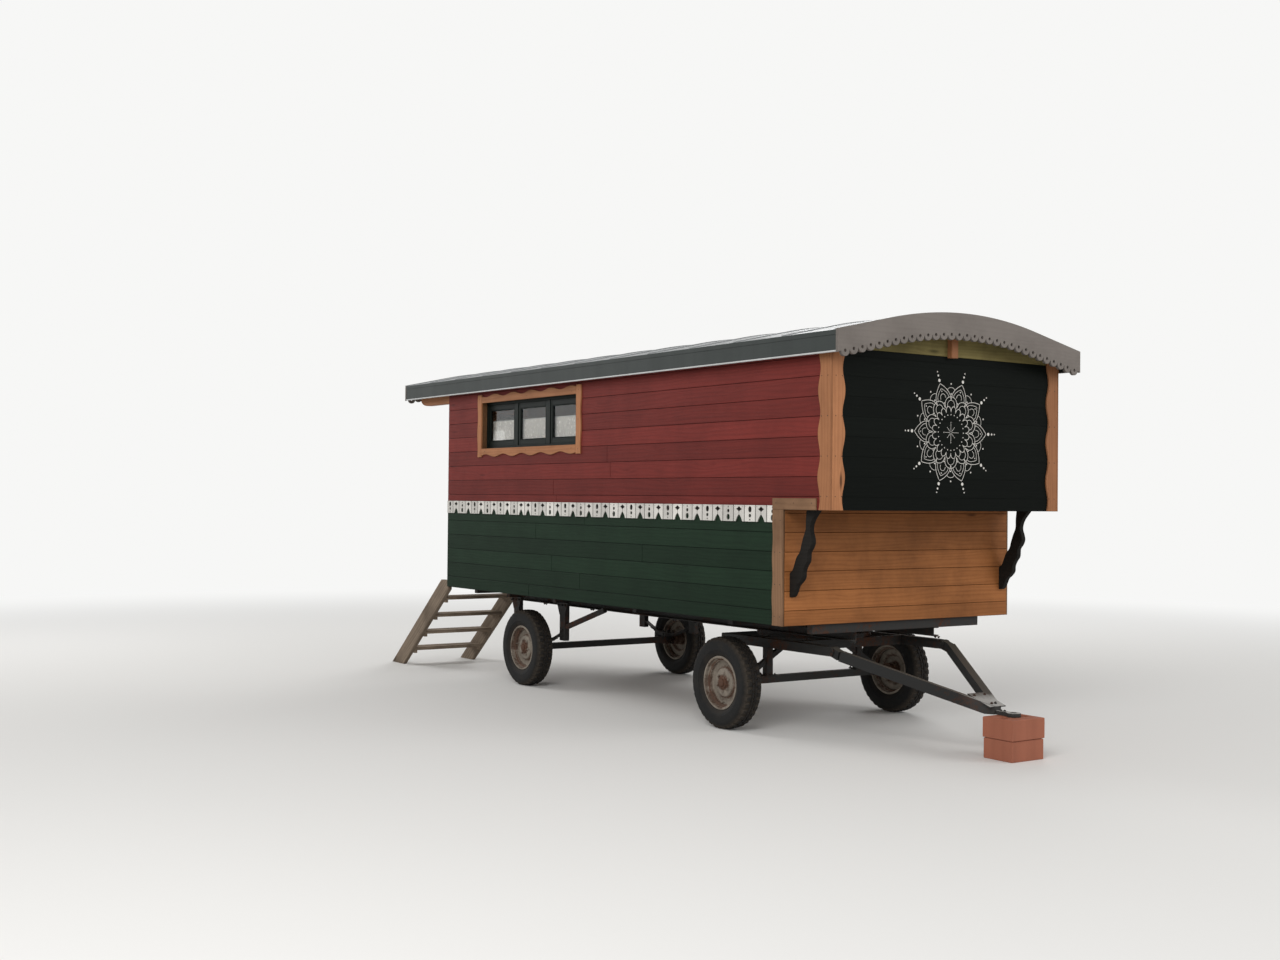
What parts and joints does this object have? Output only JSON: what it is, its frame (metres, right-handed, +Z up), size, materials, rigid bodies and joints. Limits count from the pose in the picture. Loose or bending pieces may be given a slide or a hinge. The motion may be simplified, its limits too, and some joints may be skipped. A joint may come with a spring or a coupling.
{
  "type": "vardo living wagon",
  "caption": "Wooden living wagon with a bed alcove in front and an arched roof, on a turntable farm chassis with a pitched drawbar.",
  "frame": {"origin": "on the ground under the middle of the overall length and width", "axes": "+X forward to the drawbar, +Z up, -Y the side with the steps"},
  "size_m": [8.1, 2.602, 3.2735],
  "materials": {
    "dark_steel": "old dark paint with rust",
    "bare_steel": "worn grey steel",
    "fired_clay": "matt",
    "pine_boards": "oiled",
    "pine_trim": "oiled",
    "green_boards": "stained very dark green",
    "red_boards": "stained oxblood",
    "black_boards": "painted, with a white traced rosette",
    "roof_sheet": "coated sheet",
    "slate_paint": "satin",
    "taupe_paint": "painted taupe brown",
    "white_paint": "painted white",
    "dark_wood": "stained near black",
    "black_frame": "painted very dark green",
    "window_glass": "clear",
    "lace": "openwork",
    "green_door": "painted very dark green",
    "step_wood": "weathered",
    "tyre": "dusty",
    "rim_paint": "pale dusty paint with rust"
  },
  "bodies": {
    "wagon": {"chassis_rails": "dark_steel", "chassis_cross_beams": "dark_steel", "plan_braces": "dark_steel", "rear_axle": "dark_steel", "rear_hangers": "dark_steel", "rear_springs": "dark_steel", "turntable_upper": "dark_steel", "support_block": "fired_clay", "floor": "pine_boards", "lower_wall_right": "green_boards", "lower_wall_left": "green_boards", "lower_wall_front": "pine_boards", "rear_wall_lower": "green_boards", "rear_wall_upper": "red_boards", "upper_wall_right": "red_boards", "upper_wall_left": "red_boards", "upper_wall_front": "black_boards", "alcove_floor": "pine_boards", "roof_shell": "roof_sheet", "side_fascias": "slate_paint", "front_fascia": "taupe_paint", "rear_fascia": "taupe_paint", "roof_purlins": "pine_trim", "fret_bands": "white_paint", "corner_boards": "pine_trim", "overhang_brackets": "dark_wood", "window_frames": "black_frame", "window_panes": "window_glass", "window_architraves": "pine_trim", "curtains": "lace", "door_frame": "pine_trim", "steps_stringers": "step_wood", "steps_treads": "step_wood"},
    "door": {"door_leaf": "green_door", "door_pane": "window_glass", "door_handle": "bare_steel"},
    "bogie": {"turntable_lower": "dark_steel", "bogie_frame": "dark_steel", "front_axle": "dark_steel"},
    "drawbar": {"drawbar_arms": "dark_steel", "towing_eye": "bare_steel"},
    "wheel_front_right": {"tyre_front_right": "tyre", "rim_front_right": "rim_paint"},
    "wheel_front_left": {"tyre_front_left": "tyre", "rim_front_left": "rim_paint"},
    "wheel_rear_right": {"tyre_rear_right": "tyre", "rim_rear_right": "rim_paint"},
    "wheel_rear_left": {"tyre_rear_left": "tyre", "rim_rear_left": "rim_paint"}
  },
  "joints": [
    {"name": "rear_door", "type": "hinge", "parent": "wagon", "child": "door", "pos_m": [-2.71001, -1.078, 1.9], "axis": [0, 0, 1], "range_deg": [0, 135]},
    {"name": "steering", "type": "hinge", "parent": "wagon", "child": "bogie", "pos_m": [1.71999, 0, 0.7], "axis": [0, 0, 1], "range_deg": [-80, 80]},
    {"name": "drawbar_pitch", "type": "hinge", "parent": "bogie", "child": "drawbar", "pos_m": [2.63999, 0, 0.6872], "axis": [0, -1, 0], "range_deg": [0, 35]},
    {"name": "spin_front_right", "type": "hinge", "parent": "bogie", "child": "wheel_front_right", "pos_m": [1.71999, -0.9325, 0.3725], "axis": [0, 1, 0], "continuous": true},
    {"name": "spin_front_left", "type": "hinge", "parent": "bogie", "child": "wheel_front_left", "pos_m": [1.71999, 0.9325, 0.3725], "axis": [0, 1, 0], "continuous": true},
    {"name": "spin_rear_right", "type": "hinge", "parent": "wagon", "child": "wheel_rear_right", "pos_m": [-1.49501, -0.9325, 0.3725], "axis": [0, 1, 0], "continuous": true},
    {"name": "spin_rear_left", "type": "hinge", "parent": "wagon", "child": "wheel_rear_left", "pos_m": [-1.49501, 0.9325, 0.3725], "axis": [0, 1, 0], "continuous": true}
  ]
}
